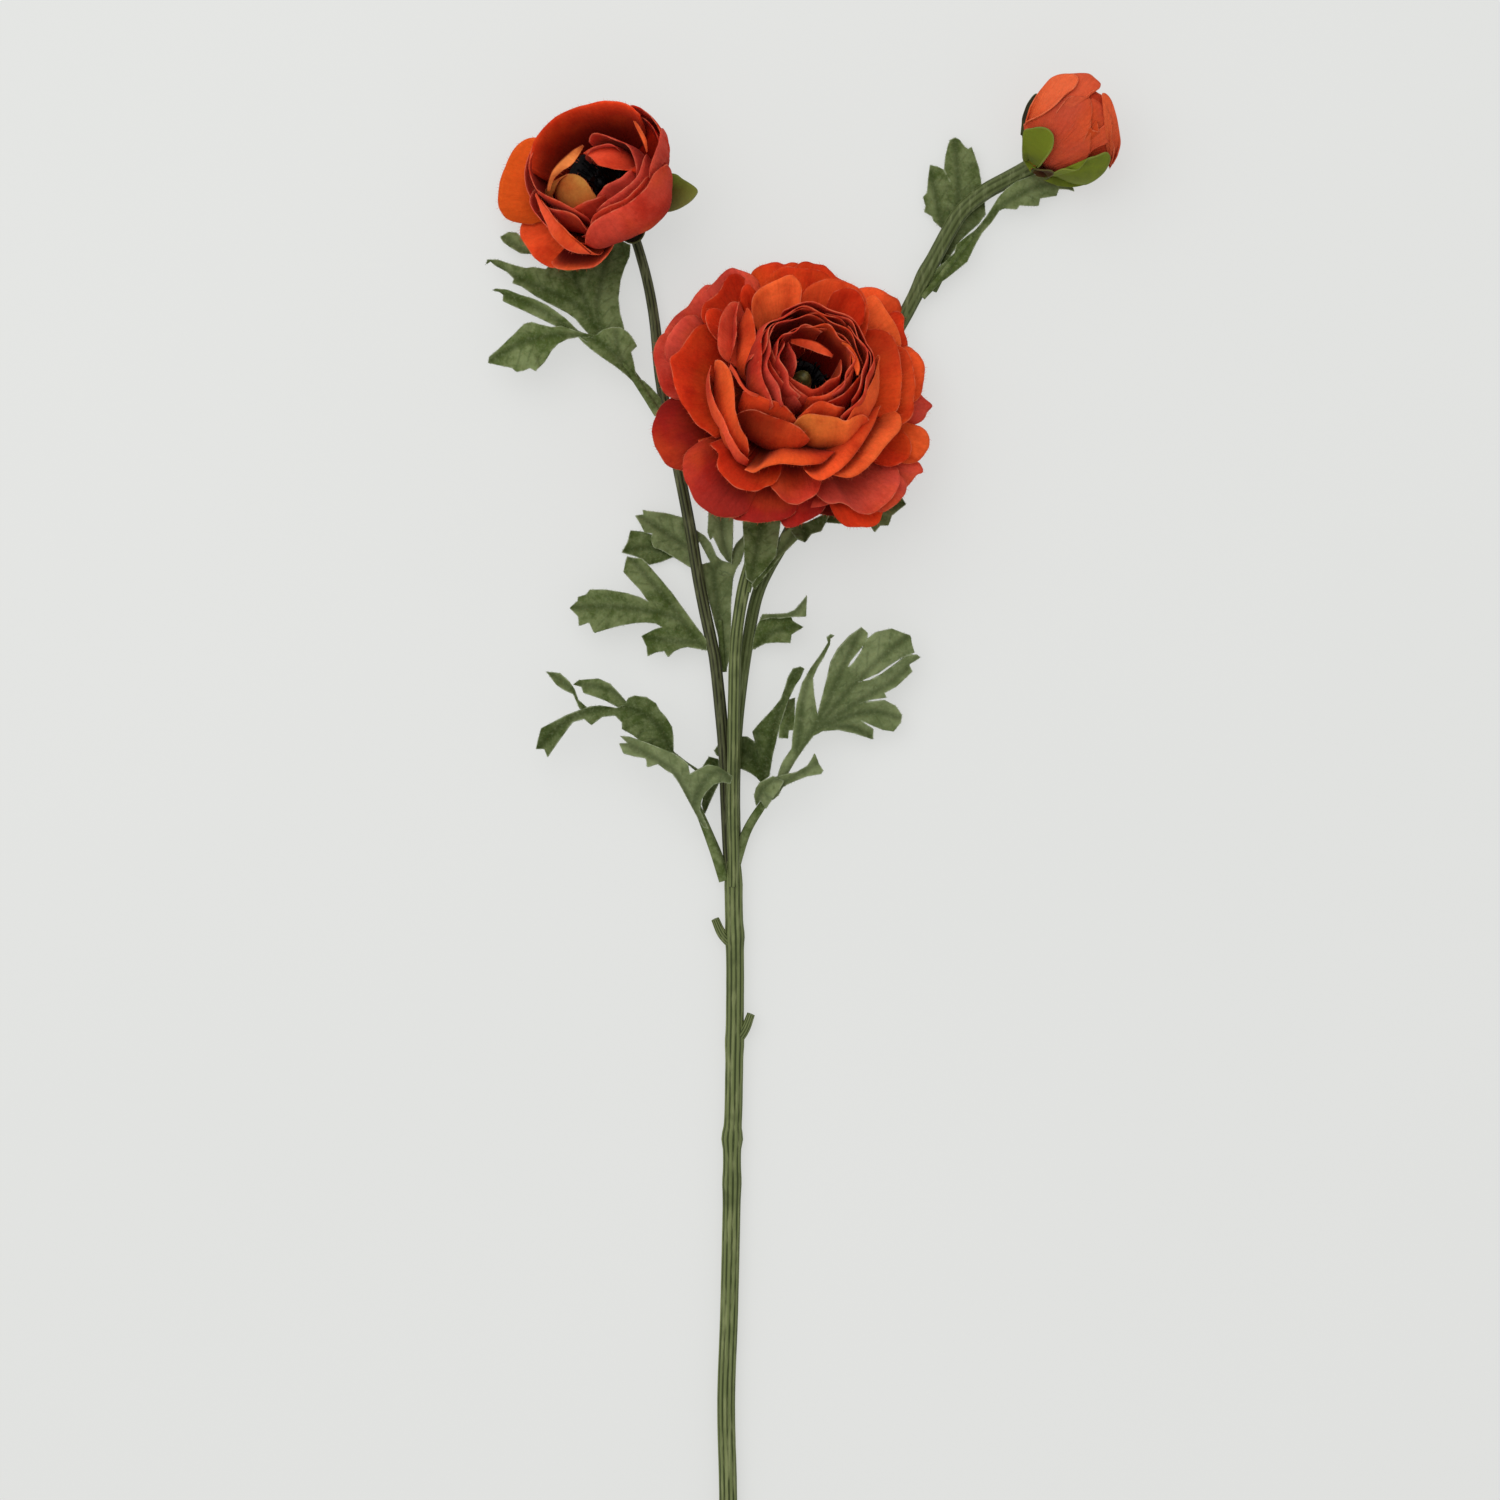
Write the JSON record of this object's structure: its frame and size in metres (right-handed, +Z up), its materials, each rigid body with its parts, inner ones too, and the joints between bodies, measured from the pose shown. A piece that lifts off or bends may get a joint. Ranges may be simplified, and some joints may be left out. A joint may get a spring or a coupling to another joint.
{
  "type": "ranunculus",
  "caption": "Branched ranunculus spray lying on its back: a cut stem that forks to an open layered bloom, a half-open cupped bloom and a round bud, with lobed leaves",
  "frame": {"origin": "centre of the spray's bounding box, on the surface that it lies on", "axes": "+Y along the stem from its cut end towards the flowers, +X to the right as seen from above with the flowers away from the viewer, +Z up out of the surface"},
  "size_m": [0.1982, 0.5565, 0.0553],
  "materials": {
    "stem_plastic": "matt, ribbed lengthwise",
    "branch_plastic": "matt, ribbed lengthwise, brownish green",
    "leaf_fabric": "flocked, with printed dark veins and pale cut edges",
    "petal_fabric": "fine woven, airbrushed orange to crimson",
    "bud_fabric": "fine woven, airbrushed coral",
    "sepal_fabric": "coated, lime green",
    "stamen_plastic": "soft black, slightly glossy tips",
    "pistil_plastic": "matt olive"
  },
  "bodies": {
    "root": {"main_stem": "stem_plastic", "centre_branch": "stem_plastic", "right_branch": "stem_plastic", "left_branch": "branch_plastic", "leaf_lower_left": "leaf_fabric", "leaf_lower_right": "leaf_fabric", "leaf_middle_left": "leaf_fabric", "leaf_middle_right": "leaf_fabric", "leaf_centre_left": "leaf_fabric", "leaf_centre": "leaf_fabric", "leaf_upper_left": "leaf_fabric", "leaf_bud_left": "leaf_fabric", "leaf_bud_right": "leaf_fabric", "main_petals": "petal_fabric", "main_calyx": "sepal_fabric", "main_stamens": "stamen_plastic", "main_pistil": "pistil_plastic", "left_petals": "petal_fabric", "left_calyx": "sepal_fabric", "left_stamens": "stamen_plastic", "left_pistil": "pistil_plastic", "bud_petals": "bud_fabric", "bud_calyx": "sepal_fabric"}
  },
  "joints": []
}
